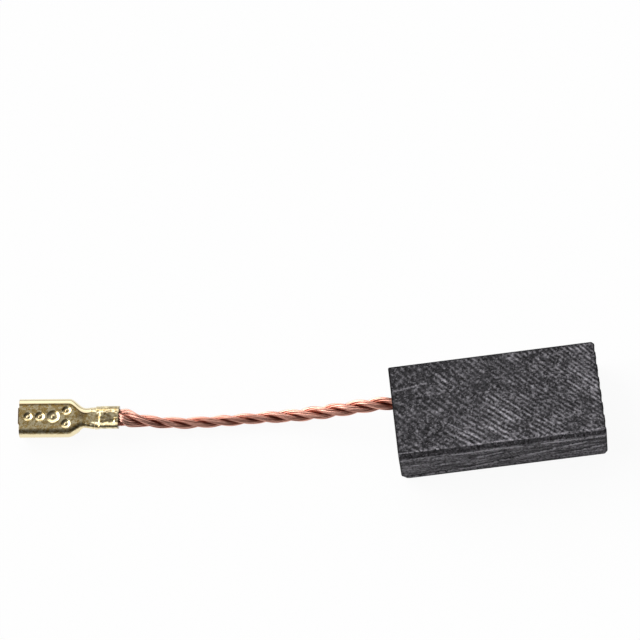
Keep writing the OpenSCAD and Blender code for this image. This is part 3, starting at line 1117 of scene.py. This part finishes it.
@dataclass
class CarbonBlock:
    """The ground block: a loft along X, closed by the grooved running face and the drilled rear face.

    Sizes are in millimetres; length, width and thickness come from the CAD box.
    """

    bevel_rear: float = 0.45
    bevel_running: float = 0.28
    edge_r: float = 0.12
    corner_running_r: float = 0.35
    corner_rear_r: float = 0.16
    end_break: float = 0.06
    groove_pitch: float = 1.38
    groove_w: float = 0.7
    groove_depth: float = 0.12
    grooves: int = 7
    hole_y: float = 2.3
    hole_z: float = 2.5
    hole_r: float = 1.0
    # How deep the hole is open, and half the window of cells left out round it
    hole_l: float = 0.9
    window: float = 1.35
    top_cells: int = 103
    side_cells: int = 38
    cell: float = 0.1
    top_marks: CutMarks = CutMarks(0.475, 46.5, 0.0144, 0.018, 1.08, 21, (
        (1.0, -2.6, 2.4, 0.55), (0.5, 0.8, 2.2, 0.2), (-3.4, -3.2, 1.3, 0.4), (9.2, 0.6, 2.2, 0.25),
        (-8.2, 2.5, 3.0, -0.3), (-8.0, -3.5, 2.2, -0.15), (-4.6, 3.5, 1.0, 0.25),
        (8.6, 4.2, 1.0, 0.3), (5.8, 4.2, 1.0, 0.2)))
    # Scored lines of the front and scratches of the top: both ends, and how strong
    scores: tuple[tuple[float, ...], ...] = (
        (-10.3, 0.42, -6.25, 0.8, 0.9), (-6.25, 0.72, -3.9, 1.1, 0.6), (-3.9, 1.05, -0.9, 1.5, 0.8),
        (-0.9, 1.62, 1.9, 2.2, 1.0), (1.9, 2.28, 5.0, 2.85, 0.8), (5.0, 2.95, 8.6, 3.75, 1.0),
        (-6.75, 2.5, -4.4, 2.75, 0.5), (-3.4, 3.0, 0.2, 3.65, 0.9), (-1.6, 2.8, 0.9, 3.35, 0.6),
        (4.9, 1.42, 8.0, 1.95, 0.6), (8.0, 1.95, 10.3, 2.55, 1.0))
    scratches: tuple[tuple[float, ...], ...] = (
        (-10.3, 2.2, -6.7, 2.75, 0.8), (1.2, -1.5, 2.2, -2.5, 0.9), (-8.4, -2.5, -7.75, -3.2, 0.5),
        (-5.3, -1.75, -2.2, -3.9, 0.7), (-0.4, -0.8, 0.6, -1.7, 0.7))
    # How much dust lies on the far side, the front and the bevel; the far side's smaller share is painted
    # shade and the front's larger one painted light, set against how much light falls on each
    back_dust_and_shade: float = 0.5
    front_dust_and_painted_light: float = 0.74
    bevel_dust: float = 0.13
    # How deep the drawn lines, the scores and the ends' grain are
    drawn_depth: float = 0.02
    score_depth: float = 0.12
    grain_depth: float = 0.012
    # Worn corners: place along x, aside and up, and how far the point is worn back
    worn: tuple[tuple[float, ...], ...] = (
        (-10.25, -5, 0, 0.3), (10.25, -5, 0, 0.16), (10.25, 5, 5, 0.12))
    under_marks: CutMarks = CutMarks(0.5, -38.0, 0.01, 0.018, 0.8, 31)

    def __post_init__(self) -> None:
        """Takes the block's size from the CAD node."""
        low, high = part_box("carbon_block")
        self.x0, self.x1 = low.x / MM, high.x / MM
        self.half_w, self.thick = high.y / MM, high.z / MM

    def rows(self) -> Array:
        """Stations along X, close together at the rounded ends.

        Returns:
            Places along X.
        """
        near = np.array([0, 0.008, 0.03, 0.06, 0.11, 0.17, 0.25, 0.35])
        inner = np.linspace(self.x0 + 0.45, self.x1 - 0.45, round((self.x1 - self.x0 - 0.9) / self.cell) + 1)
        return np.concatenate([self.x0 + near, inner, (self.x1 - near)[::-1]])

    @staticmethod
    def shares(cells: int) -> Array:
        """Even shares from 0 to 1 in so many cells, with a thin cell at both ends."""
        return np.concatenate([[0], np.linspace(0.004, 0.996, cells - 1), [1]])

    def rings(self, x: Array) -> tuple[Array, Array]:
        """The sections across the block, from the bevel's middle over the top and round.

        Half width and height shrink over the end radii r as r - sqrt(r^2 - (r - e)^2)
        at the distance e from the end. The bevel narrows evenly along the block.

        Args:
            x: The stations.

        Returns:
            Points, stations by columns, and the number of the side that each
            column lies on: 0 top, 1 back, 2 underside, 3 front, and -1 on edges.
        """
        rear, running = x - self.x0, self.x1 - x

        def shrink(distance: Array, r: float) -> Array:
            """What the rounded end takes off at a distance from it."""
            gone = np.clip(r - distance, 0, r)
            return r - np.sqrt(r * r - gone * gone)

        width = self.half_w - shrink(rear, self.corner_rear_r) - shrink(running, self.corner_running_r)
        fall = shrink(rear, self.end_break) + shrink(running, self.end_break)
        high, low = self.thick - fall, fall
        bevel = self.bevel_rear + (self.bevel_running - self.bevel_rear) * rear / (self.x1 - self.x0)
        w, h, l, b = (v[:, None] for v in (width, high, low, bevel))
        r = self.edge_r
        arc = np.radians([22.5, 45.0, 67.5])
        c, s = np.cos(arc), np.sin(arc)
        upper, lower = np.array([0, 0.45, 0.85]), np.array([0, 0.15, 0.55])
        top, back = self.shares(self.top_cells), self.shares(self.side_cells)
        under, front = self.shares(self.top_cells + 1), self.shares(self.side_cells - 1)
        parts = [
            (-w + b * (0.5 + 0.5 * upper), h - b * (0.5 - 0.5 * upper), -1),
            ((-w + b) * (1 - top) + (w - r) * top, h * np.ones_like(top), 0),
            (w - r + r * s, h - r + r * c, -1),
            (w * np.ones_like(back), (h - r) * (1 - back) + (l + r) * back, 1),
            (w - r + r * c, l + r - r * s, -1),
            ((w - r) * (1 - under) + (-w + r) * under, l * np.ones_like(under), 2),
            (-w + r - r * s, l + r - r * c, -1),
            (-w * np.ones_like(front), (l + r) * (1 - front) + (h - b) * front, 3),
            (-w + b * 0.5 * lower[1:], h - b + b * 0.5 * lower[1:], -1),
        ]
        y = np.concatenate([p[0] for p in parts], 1)
        z = np.concatenate([p[1] for p in parts], 1)
        sides = np.concatenate([np.full(p[0].shape[1], p[2]) for p in parts])
        return np.stack([np.broadcast_to(x[:, None], y.shape), y, z], -1), sides

    def groove(self, y: Array) -> Array:
        """Depth of the running face's grooves, which are parabolas across.

        Args:
            y: Distance from the middle.

        Returns:
            One depth for each point.
        """
        nearest = np.clip(np.round(y / self.groove_pitch), -(self.grooves // 2), self.grooves // 2)
        across = (y - nearest * self.groove_pitch) / (self.groove_w / 2)
        return self.groove_depth * np.clip(1 - across**2, 0, 1)

    def marked(self, points: Array, sides: Array) -> tuple[Array, Array]:
        """Presses the cutting marks into the long sides.

        The top and the underside have the disc's marks, the other two are drawn
        along. Dust with painted highlight lies along the front's rim and beside the
        bevel; the front's scores lose their dust, which is painted shade in them, and
        get a pale lip, partly dust and partly painted highlight.

        Args:
            points: The ring points, stations by columns.
            sides: The side of each column.

        Returns:
            The points as marked, and their dust with painted light and shade.
        """
        x, y, z = points[..., 0], points[..., 1], points[..., 2]
        inside = smooth_step(np.minimum(x - self.x0, self.x1 - x) / 0.15)
        dust_and_painted_light = np.zeros(x.shape)
        moved = points.copy()
        top, under, back, front = ((sides == k)[None, :] * inside for k in (0, 2, 1, 3))
        fade = smooth_step((np.minimum(self.half_w - y, y + self.half_w)) / 0.25)
        fall, light = self.top_marks.at(x, y)
        moved[..., 2] -= top * fall * fade
        dust_and_painted_light += top * light
        fall, light = self.under_marks.at(x, y)
        moved[..., 2] += under * np.maximum(fall, 0) * fade
        dust_and_painted_light += under * light
        for line in self.scratches:
            dust_and_painted_light += top * line[4] * bell(off_line(x, y, line), 0.06)
        # The two drawn sides' dust shares: painted shade on the far side, painted light on the front
        drawn_sides = ((back, -1.0, 41, self.back_dust_and_shade), (front, 1.0, 51, self.front_dust_and_painted_light))
        for weight, sign, seed, share in drawn_sides:
            tilt = z + 0.08 * sign * x
            drawn = Wander(seed, 2).at(x / 3 + 3, tilt / 0.21) + 0.5 * Wander(seed + 1).at(x / 0.5, z / 0.12)
            moved[..., 1] += weight * sign * self.drawn_depth * np.clip(drawn, -1, 1)
            # Lighter towards the bottom, painted light against the shade near the floor, and darker at the
            # lowest edge, painted shade
            dust_and_painted_light += weight * share * np.clip(0.75 - 0.09 * z + 0.75 * drawn, 0, 2) * (1 - bell(z, 0.2))
        # Painted highlight in dashes along the front under the bevel, and on the top beside it
        rim = np.clip(0.6 + Wander(55, 2).at(x / 0.8, z), 0, 1.5)
        dust_and_painted_light += (front * bell(z - 4.25, 0.12) + top * bell(y + self.half_w - 0.5, 0.05) * 0.3) * rim * 2.0
        # Each score loses its dust, painted shade in the groove, and gets a pale upper lip, partly dust and
        # partly painted highlight
        for line in self.scores:
            cut = line[4] * bell(off_line(x, z, line), 0.13)
            moved[..., 1] += front * cut * self.score_depth
            dust_and_painted_light = dust_and_painted_light * (1 - front * np.clip(cut * 1.8, 0, 1))
            dust_and_painted_light += front * line[4] * 2.4 * bell(off_line(x, z + 0.27, line), 0.09) * rim
        return moved, dust_and_painted_light

    def cap(self, ring: Array, points: Array, first: int) -> tuple[Array, Array]:
        """Fills the end ring with a grid that shares the ring's points.

        The inner points are the sum of the blends between top and bottom and
        between both sides, less the blend of the four corners.

        Args:
            ring: Point numbers round the end.
            points: Their places.
            first: Number of the first new point.

        Returns:
            Point numbers of the grid, from the top down, and places of all of them.
        """
        na, nb = self.top_cells + 5, self.side_cells + 4
        count = len(ring)
        numbers = first + np.arange((nb + 1) * (na + 1)).reshape(nb + 1, na + 1)
        down, over = np.arange(nb + 1), np.arange(na + 1)
        sides = over, 2 * na + nb - over, na + down, (count - down) % count
        numbers[0], numbers[nb], numbers[:, na], numbers[:, 0] = (ring[side] for side in sides)
        top, bottom, right, left = (points[side] for side in sides)
        u, v = (over / na)[None, :, None], (down / nb)[:, None, None]
        filled = (1 - v) * top[None] + v * bottom[None] + (1 - u) * left[:, None] + u * right[:, None]
        filled -= (1 - v) * ((1 - u) * top[0] + u * top[-1]) + v * ((1 - u) * bottom[0] + u * bottom[-1])
        return numbers, filled

    def drilled(self, numbers: Array, places: Array, first: int) -> tuple[Array, Array, Array, Array]:
        """Opens the hole in the rear cap.

        The cells of a window are left out. Rings blend from the window's border
        to the hole's circle, go into the block, and close in a fan.

        Args:
            numbers: Point numbers of the cap.
            places: Their places.
            first: Number of the first new point.

        Returns:
            Quads, triangles, new places and which cells of the cap stay.
        """
        y, z = places[places.shape[0] // 2, :, 1], places[:, places.shape[1] // 2, 2]
        i0, i1 = (int(np.abs(y - self.hole_y - d).argmin()) for d in (-self.window, self.window))
        k0, k1 = (int(np.abs(z - self.hole_z - d).argmin()) for d in (self.window, -self.window))
        down, over = np.arange(k0, k1), np.arange(i0, i1)
        k = np.concatenate([np.full(len(over), k0), down, np.full(len(over), k1), down[::-1] + 1])
        i = np.concatenate([over, np.full(len(down), i1), over[::-1] + 1, np.full(len(down), i0)])
        border, centre = places[k, i], np.array([self.x0, self.hole_y, self.hole_z])
        circle = centre + self.hole_r * unit((border - centre) * [0, 1, 1])
        blends = [border + (circle - border) * t for t in (0.4, 0.75, 1.0)]
        blends += [circle + [d, 0, 0] for d in (0.03, 0.3, self.hole_l)]
        rings = np.stack(blends)
        inner = first + np.arange(rings[..., 0].size).reshape(rings.shape[:2])
        quads = grid_cells(np.concatenate([numbers[k, i][None], inner]), ring=True)
        bottom = inner[-1]
        centre_number = first + rings[..., 0].size
        fan = np.stack([bottom, np.roll(bottom, -1), np.full(len(bottom), centre_number)], -1)
        keep = np.ones((numbers.shape[0] - 1, numbers.shape[1] - 1), bool)
        keep[k0:k1, i0:i1] = False
        return quads, fan, np.concatenate([rings.reshape(-1, 3), [centre + [self.hole_l, 0, 0]]]), keep

    def worn_back(self, points: Array) -> Array:
        """Wears the corners down.

        A point moves inward by the corner's depth times the bell of its distance
        from the corner, 1.3 depths wide.

        Args:
            points: All the points.

        Returns:
            The points after the wear.
        """
        for x, y, z, depth in self.worn:
            reach = np.linalg.norm(points - [x, y, z], axis=1)
            inward = unit(np.array([-np.sign(x), -np.sign(y), 1.0 if z < 1 else -1.0]))
            points = points + (depth * bell(reach, 1.3 * depth))[:, None] * inward
        return points

    def rims(self, points: Array) -> tuple[Array, Array]:
        """Finds the edges, which are darkened with painted shade, and the bevel, which isn't.

        A point lies on an edge where its second smallest distance from a face
        is small.

        Args:
            points: All the points.

        Returns:
            Nearness to an edge and to the bevel, from 0 to 1.
        """
        x, y, z = points.T
        faces = np.stack([x - self.x0, self.x1 - x, self.half_w - np.abs(y), z, self.thick - z])
        bevel = smooth_step((0.6 - self.half_w - y) / 0.1) * smooth_step((z - self.thick + 0.6) / 0.1)
        return bell(np.sort(faces, 0)[1], 0.17) * (1 - bevel), bevel

    def build(self, material: bpy.types.Material) -> bpy.types.Object:
        """Makes the piece.

        Args:
            material: The finish of its carbon.

        Returns:
            The piece.
        """
        plain, sides = self.rings(self.rows())
        rings, dust_and_painted_light = self.marked(plain, sides)
        numbers = np.arange(rings[..., 0].size).reshape(rings.shape[:2])
        rear, rear_places = self.cap(numbers[0], rings[0], numbers.size)
        running, running_places = self.cap(numbers[-1], rings[-1], numbers.size + rear.size)
        start = numbers.size + rear.size + running.size
        hole_quads, fan, hole_places, keep = self.drilled(rear, rear_places, start)
        for places, seed in ((rear_places, 61), (running_places, 71)):
            inner = places[1:-1, 1:-1]
            rough = self.grain_depth * (1 + Wander(seed, 3).at(inner[..., 1] / 0.6, inner[..., 2] / 0.6))
            inner[..., 0] -= np.sign(inner[..., 0]) * rough
        points = np.concatenate([rings.reshape(-1, 3), rear_places.reshape(-1, 3),
                                 running_places.reshape(-1, 3), hole_places])
        near_end = smooth_step((points[:, 0] - self.x1 + 0.7) / 0.7)
        points[:, 0] -= near_end * self.groove(points[:, 1])
        points = self.worn_back(points)
        quads = np.concatenate([grid_cells(numbers, ring=True), grid_cells(rear)[keep.ravel()][:, ::-1],
                                grid_cells(running), hole_quads[:, ::-1]])
        edge, bevel = self.rims(points)
        all_dust_and_painted_light = 0.25 + 0.25 * Wander(81, 3).at(points[:, 1] / 0.35, points[:, 2] / 1.5)
        all_dust_and_painted_light[:numbers.size] = dust_and_painted_light.ravel()
        all_dust_and_painted_light += self.bevel_dust * bevel
        made = put_mesh("ground_block", points, quads, fan[:, ::-1], {"marks": all_dust_and_painted_light, "edge": edge})
        return dress(made, material, "carbon_block")


@dataclass
class TampingPlug:
    """Copper powder rammed round the lead: a rough disc just inside the hole, with its wall."""

    x0: float = -10.25
    y: float = 2.3
    z: float = 2.5
    radius: float = 0.99
    # How far behind the rear face its disc and its back lie
    sunk: float = 0.08
    deep: float = 0.85
    rough: float = 0.05
    sides: int = 72

    def build(self, material: bpy.types.Material) -> bpy.types.Object:
        """Makes the piece: rings of the rough disc, then of the wall, closed behind.

        Args:
            material: The finish of its powder.

        Returns:
            The piece.
        """
        r = np.concatenate([np.linspace(0.04, 1, 18), np.ones(3), [0.5, 0.04]]) * self.radius
        depth = np.concatenate([np.full(18, self.sunk), [0.2, 0.5, self.deep], [self.deep, self.deep]])
        turn = np.linspace(0, 2 * np.pi, self.sides, endpoint=False)
        y, z = r[:, None] * np.cos(turn), r[:, None] * np.sin(turn)
        rough = self.rough * Wander(91, 3).at(y / 0.22, z / 0.22) * (depth == self.sunk)[:, None]
        points = np.stack([self.x0 + depth[:, None] + rough, self.y + y, self.z + z], -1)
        numbers = np.arange(r.size * self.sides).reshape(r.size, self.sides)
        ends = np.array([[self.x0 + d, self.y, self.z] for d in (self.sunk, self.deep)])
        first, last = numbers[0], numbers[-1]
        fans = np.concatenate([
            np.stack([np.roll(first, -1), first, np.full(self.sides, numbers.size)], -1),
            np.stack([last, np.roll(last, -1), np.full(self.sides, numbers.size + 1)], -1)])
        made = put_mesh("powder_plug", np.concatenate([points.reshape(-1, 3), ends]),
                        grid_cells(numbers, ring=True), fans)
        return dress(made, material, "tamping_plug")


# ---------------------------------------------------------------- stage


@dataclass
class Studio:
    """Camera, floor and light. Angles are in degrees and lengths in millimetres."""

    elevation: float = 62.787
    azimuth: float = 4.526
    roll: float = -11.298
    distance: float = 380.0
    target: tuple[float, float, float] = (-16.613, 13.730, 0.0)
    lens: float = 211.23
    floor_size: float = 3000.0
    # Levels of light from the rear horizon, 0, over the zenith to the front horizon, 1
    levels: tuple[tuple[float, float], ...] = (
        (0.0, 0.23), (0.07, 0.34), (0.105, 1.0), (0.25, 1.0), (0.285, 0.5), (0.306, 0.12), (0.335, 0.235),
        (0.38, 0.18), (0.45, 0.11), (0.56, 0.05), (0.8, 0.03), (0.87, 0.15), (1.0, 0.17))
    strength: float = 2.3
    left_strength: float = 4.2

    def camera(self) -> None:
        """Sets the camera on its sphere round the target, turned about its own axis by the roll."""
        e, a, r = (math.radians(v) for v in (self.elevation, self.azimuth, self.roll))
        back = Vector((math.sin(a) * math.cos(e), -math.cos(a) * math.cos(e), math.sin(e)))
        level = Vector((math.cos(a), math.sin(a), 0.0))
        steep = back.cross(level)
        right = math.cos(r) * level + math.sin(r) * steep
        up = -math.sin(r) * level + math.cos(r) * steep
        data = bpy.data.cameras.new("camera")
        data.lens, data.sensor_width, data.clip_start, data.clip_end = self.lens, 36.0, 0.01, 10.0
        made = bpy.data.objects.new("camera", data)
        place = (Vector(self.target) + self.distance * back) * MM
        made.matrix_world = Matrix.Translation(place) @ Matrix((right, up, back)).transposed().to_4x4()
        bpy.context.scene.collection.objects.link(made)
        bpy.context.scene.camera = made

    def floor(self, material: bpy.types.Material) -> None:
        """Lays a wide flat board under the object.

        Args:
            material: The board's finish.
        """
        half = self.floor_size * MM / 2
        mesh = bpy.data.meshes.new("floor")
        corners = [(-half, -half, 0), (half, -half, 0), (half, half, 0), (-half, half, 0)]
        mesh.from_pydata(corners, [], [(0, 1, 2, 3)])
        made = bpy.data.objects.new("floor", mesh)
        made.data.materials.append(material)
        bpy.context.scene.collection.objects.link(made)

    def light(self) -> None:
        """Wraps the set in soft light: bright behind, dim overhead, dark in front, a box on the left.

        The angle round X runs from 0 at the rear horizon over the zenith to pi
        at the front horizon, and a ramp gives the light's strength along it.
        """
        world = bpy.data.worlds.new("studio")
        bpy.context.scene.world = world
        n = Nodes(world)
        way = n.add("ShaderNodeSeparateXYZ", {}, {0: n.link("ShaderNodeTexCoord", output="Generated")})
        x, y, z = (Link(n, way.outputs[k]) for k in range(3))
        over = z.maths("ARCTAN2", z, y) / math.pi
        stops = [(place, (level, level, level)) for place, level in self.levels]
        ramp = n.link("ShaderNodeValToRGB", {"stops": stops}, {0: over})
        left = x.between(-0.36, -0.5) * y.between(-0.25, 0.15) * z.between(0.1, 0.3)
        strength = ramp * self.strength * (x.between(0.75, 0.1) * 0.88 + 0.12) + left * self.left_strength
        seen = n.link("ShaderNodeLightPath", output="Is Camera Ray")
        soft = n.link("ShaderNodeBackground", {}, {0: (1.0, 1.0, 1.0), 1: strength})
        white = n.link("ShaderNodeBackground", {}, {0: (1.0, 1.0, 1.0), 1: 1.0})
        n.two_surfaces("ShaderNodeOutputWorld", seen, soft, white)
        bpy.context.scene.view_settings.view_transform = "Standard"


def main() -> None:
    """Builds the scene, piece by piece."""
    logging.basicConfig(level=logging.INFO, format="%(name)s: %(message)s")
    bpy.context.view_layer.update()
    studio = Studio()
    studio.camera()
    log.info("camera set")
    lead, line = TwistedLead().build(DrawnCopper().material())
    report(lead)
    terminal = ReceptacleTerminal().build(RolledBrass().material())
    report(terminal)
    (line * MM).tolist()
    report(CarbonBlock().build(GroundCarbon().material()))
    report(TampingPlug().build(RammedPowder().material()))
    studio.floor(PaleFloor().material())
    studio.light()
    log.info("floor and light set")


if __name__ == "__main__":
    main()
